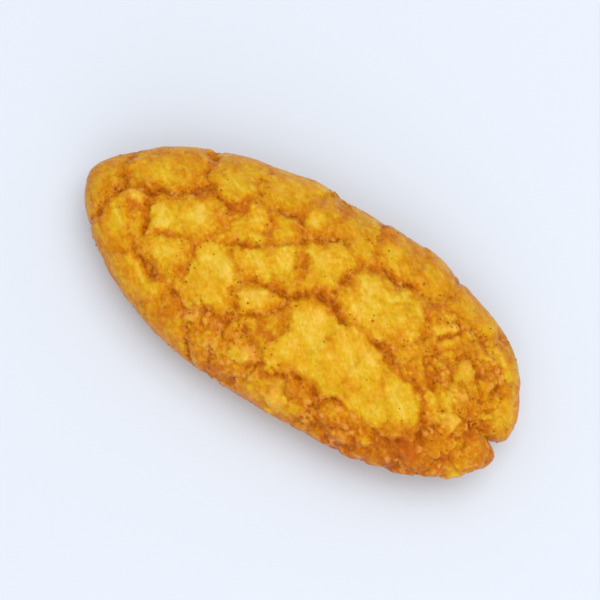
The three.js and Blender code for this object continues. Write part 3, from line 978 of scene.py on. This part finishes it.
def crust_material(f):
    """Puffed dough under a thin oily glaze."""
    mat = bpy.data.materials.new("glazed_crust")
    g = Graph(mat)
    look = SimpleNamespace(**{name: g.attribute(name) for name in LOOKS})
    fine = g.field(2.2, 3, 0.55)
    grains = g.remap(g.grains(2.6, warp=0.5), 0.15, 0.6, 1, -1)
    veins = hair_cracks(g, fine)
    ripe = ripeness(g, look, fine, grains, veins)
    g.feed(g.shader.inputs["Base Color"], glaze_colour(g, f, look, ripe))
    g.feed(g.shader.inputs["Roughness"], g.remap(g.noise(1.2, 4, 0.6), 0.3, 0.7, 0.20, 0.46))
    g.shader.inputs["Specular IOR Level"].default_value = 0.34
    g.shader.inputs["Specular Tint"].default_value = GLAZE_GLINT
    g.shader.inputs["Coat Weight"].default_value = 0.015
    g.shader.inputs["Coat Roughness"].default_value = 0.12
    g.shader.inputs["Subsurface Weight"].default_value = 0.15
    g.shader.inputs["Subsurface Radius"].default_value = (1.0, 0.45, 0.08)
    g.shader.inputs["Subsurface Scale"].default_value = 0.4 * MM
    height = g.add(g.noise(1.8, 4, 0.55), (g.noise(5.0, 3, 0.5), 0.45), (grains, 0.10), (veins, -0.35))
    g.bump(g.scaled(height, ripe, 0.35, 0.85, 1.25, 0.45, smooth=True), strength=0.6, distance=0.11)
    return mat


def speck_material(name, colour, pale):
    """Ground spice, each grain a little paler or darker than its neighbours."""
    mat = bpy.data.materials.new(name)
    g = Graph(mat)
    shade = g.remap(g.noise(2.5, 3, 0.6), 0.3, 0.7)
    g.feed(g.shader.inputs["Base Color"], g.mix(shade, (*colour, 1), (*pale, 1)))
    g.feed(g.shader.inputs["Roughness"], g.remap(g.noise(5.0, 3, 0.6), 0.3, 0.7, 0.45, 0.8))
    g.shader.inputs["Specular IOR Level"].default_value = 0.1
    g.shader.inputs["Specular Tint"].default_value = GLAZE_GLINT
    g.bump(g.noise(12.0, 3, 0.6), strength=0.5, distance=0.02)
    return mat


def speck_shape():
    """The points and faces of one plain round grain, 1 across."""
    bud = bmesh.new()
    bmesh.ops.create_icosphere(bud, subdivisions=1, radius=0.5)
    points = [vertex.co.copy() for vertex in bud.verts]
    faces = [[vertex.index for vertex in face.verts] for face in bud.faces]
    bud.free()
    return points, faces


def scatter(name, count, seed, sizes, flat, clinging):
    """Joins many small uneven grains that are half sunk in the crust into one mesh.

    Grains are from sizes[0] to sizes[1] millimetres long and flat times as thick, and clinging is how much
    likelier they are to stick in a seam than on a plate.
    """
    crust = bpy.data.objects["cracker_crust"].data
    lots = random.Random(seed)
    seam = np.empty(len(crust.vertices), np.float32)
    crust.attributes["seam"].data.foreach_get("value", seam)
    off_table = 0.4 * MM
    quads = [quad for quad in crust.polygons if len(quad.vertices) == 4 and quad.center.z > off_table]
    chances = [quad.area * (1 + clinging * float(seam[quad.vertices[0]])) for quad in quads]
    points, faces = speck_shape()
    all_points, all_faces = [], []
    for quad in lots.choices(quads, weights=chances, k=count):
        length = between(*sizes, lots.random() ** 1.8) * MM
        lie = quad.normal.to_track_quat("Z", "Y") @ Quaternion((0, 0, 1), lots.uniform(0, 2 * math.pi))
        stretch = Vector((1, lots.uniform(0.55, 0.95), flat * lots.uniform(0.7, 1.2))) * length
        place = Vector(quad.center) + quad.normal * 0.08 * length
        first = len(all_points)
        for point in points:
            uneven = 1 + 0.22 * (lots.random() - 0.5)
            all_points.append(place + lie @ (point * uneven * stretch))
        all_faces += [[first + corner for corner in face] for face in faces]
    mesh = bpy.data.meshes.new(name)
    mesh.from_pydata(all_points, [], all_faces)
    mesh.shade_smooth()
    return link(bpy.data.objects.new(name, mesh))


class RICECRACKER_OT_spice(bpy.types.Operator):
    """Sticks ground pepper and chilli to the crust, mostly in its seams"""

    bl_idname = "ricecracker.spice"
    bl_label = "Ground Spice"

    def execute(self, context):
        f = context.scene.crust_finish
        pepper = scatter("pepper_specks", f.pepper_count, 11, sizes=(0.07, 0.30), flat=0.5, clinging=34.0)
        pepper.data.materials.append(speck_material("ground_pepper", f.pepper, f.pepper_pale))
        chilli = scatter("chilli_flecks", f.chilli_count, 23, sizes=(0.12, 0.36), flat=0.4, clinging=8.0)
        chilli.data.materials.append(speck_material("ground_chilli", f.chilli, f.chilli_pale))
        for piece in (pepper, chilli):
            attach(piece, BODY)
        return {"FINISHED"}


def make_table(colour):
    mesh = bpy.data.meshes.new("table")
    side = TABLE_HALF_SIDE
    corners = [(-side, -side, 0), (side, -side, 0), (side, side, 0), (-side, side, 0)]
    mesh.from_pydata(corners, [], [(0, 1, 2, 3)])
    mat = bpy.data.materials.new("white_table")
    mat.use_nodes = True
    shader = mat.node_tree.nodes["Principled BSDF"]
    shader.inputs["Base Color"].default_value = (*colour, 1)
    shader.inputs["Roughness"].default_value = 0.6
    mesh.materials.append(mat)
    return link(bpy.data.objects.new("table", mesh))


def make_camera():
    camera = link(bpy.data.objects.new("camera", bpy.data.cameras.new("camera")))
    offset = Vector(CAMERA_OFFSET) * MM
    forward = -offset.normalized()
    right = forward.cross(Vector(CAMERA_UP)).normalized()
    up = right.cross(forward)
    turn = Matrix((right, up, -forward)).transposed()
    camera.matrix_world = Matrix.Translation(Vector(CAMERA_AIM) * MM + offset) @ turn.to_4x4()
    camera.data.lens = CAMERA_LENS
    camera.data.sensor_width = CAMERA_SENSOR
    camera.data.clip_start = 0.01
    return camera


def make_lamp(name, direction, distance, size, power):
    """A square lamp that faces the cracker from a direction, at a distance in metres."""
    lamp = link(bpy.data.objects.new(name, bpy.data.lights.new(name, "AREA")))
    lamp.data.size = size
    lamp.data.energy = power
    lamp.location = Vector(direction).normalized() * distance
    lamp.rotation_euler = Vector(direction).to_track_quat("Z", "Y").to_euler()


class RICECRACKER_OT_stage(bpy.types.Operator):
    """Sets the pale table, the soft lights and the camera"""

    bl_idname = "ricecracker.stage"
    bl_label = "Stage"

    def execute(self, context):
        scene = context.scene
        stage = scene.studio_stage
        make_table(stage.table)
        scene.camera = make_camera()
        make_lamp("key", (0.08, 0.30, 1.1), distance=0.6, size=0.5, power=stage.key_power)
        make_lamp("fill", (0.6, -0.9, 0.8), distance=0.7, size=0.7, power=stage.fill_power)
        world = bpy.data.worlds.new("studio")
        world.use_nodes = True
        back = world.node_tree.nodes["Background"]
        back.inputs["Color"].default_value = (*stage.daylight, 1)
        back.inputs["Strength"].default_value = stage.daylight_strength
        scene.world = world
        scene.view_settings.view_transform = "Standard"
        return {"FINISHED"}


class RICECRACKER_PT_panel(bpy.types.Panel):
    """Lists the steps that build the cracker"""

    bl_label = "Rice Cracker"
    bl_space_type = "VIEW_3D"
    bl_region_type = "UI"
    bl_category = "Rice Cracker"

    def draw(self, context):
        for operator in OPERATORS:
            self.layout.operator(operator.bl_idname)


GROUPS = {"cracker_shape": CrackerShape, "crust_finish": CrustFinish, "studio_stage": StudioStage}
OPERATORS = (RICECRACKER_OT_crust, RICECRACKER_OT_spice, RICECRACKER_OT_stage)


def register():
    for cls in (*GROUPS.values(), *OPERATORS, RICECRACKER_PT_panel):
        bpy.utils.register_class(cls)
    for name, cls in GROUPS.items():
        setattr(bpy.types.Scene, name, PointerProperty(type=cls))


def unregister():
    for name in GROUPS:
        delattr(bpy.types.Scene, name)
    for cls in reversed((*GROUPS.values(), *OPERATORS, RICECRACKER_PT_panel)):
        bpy.utils.unregister_class(cls)


def main():
    register()
    bpy.ops.ricecracker.stage()
    bpy.ops.ricecracker.crust()
    bpy.ops.ricecracker.spice()


if __name__ == "__main__":
    main()
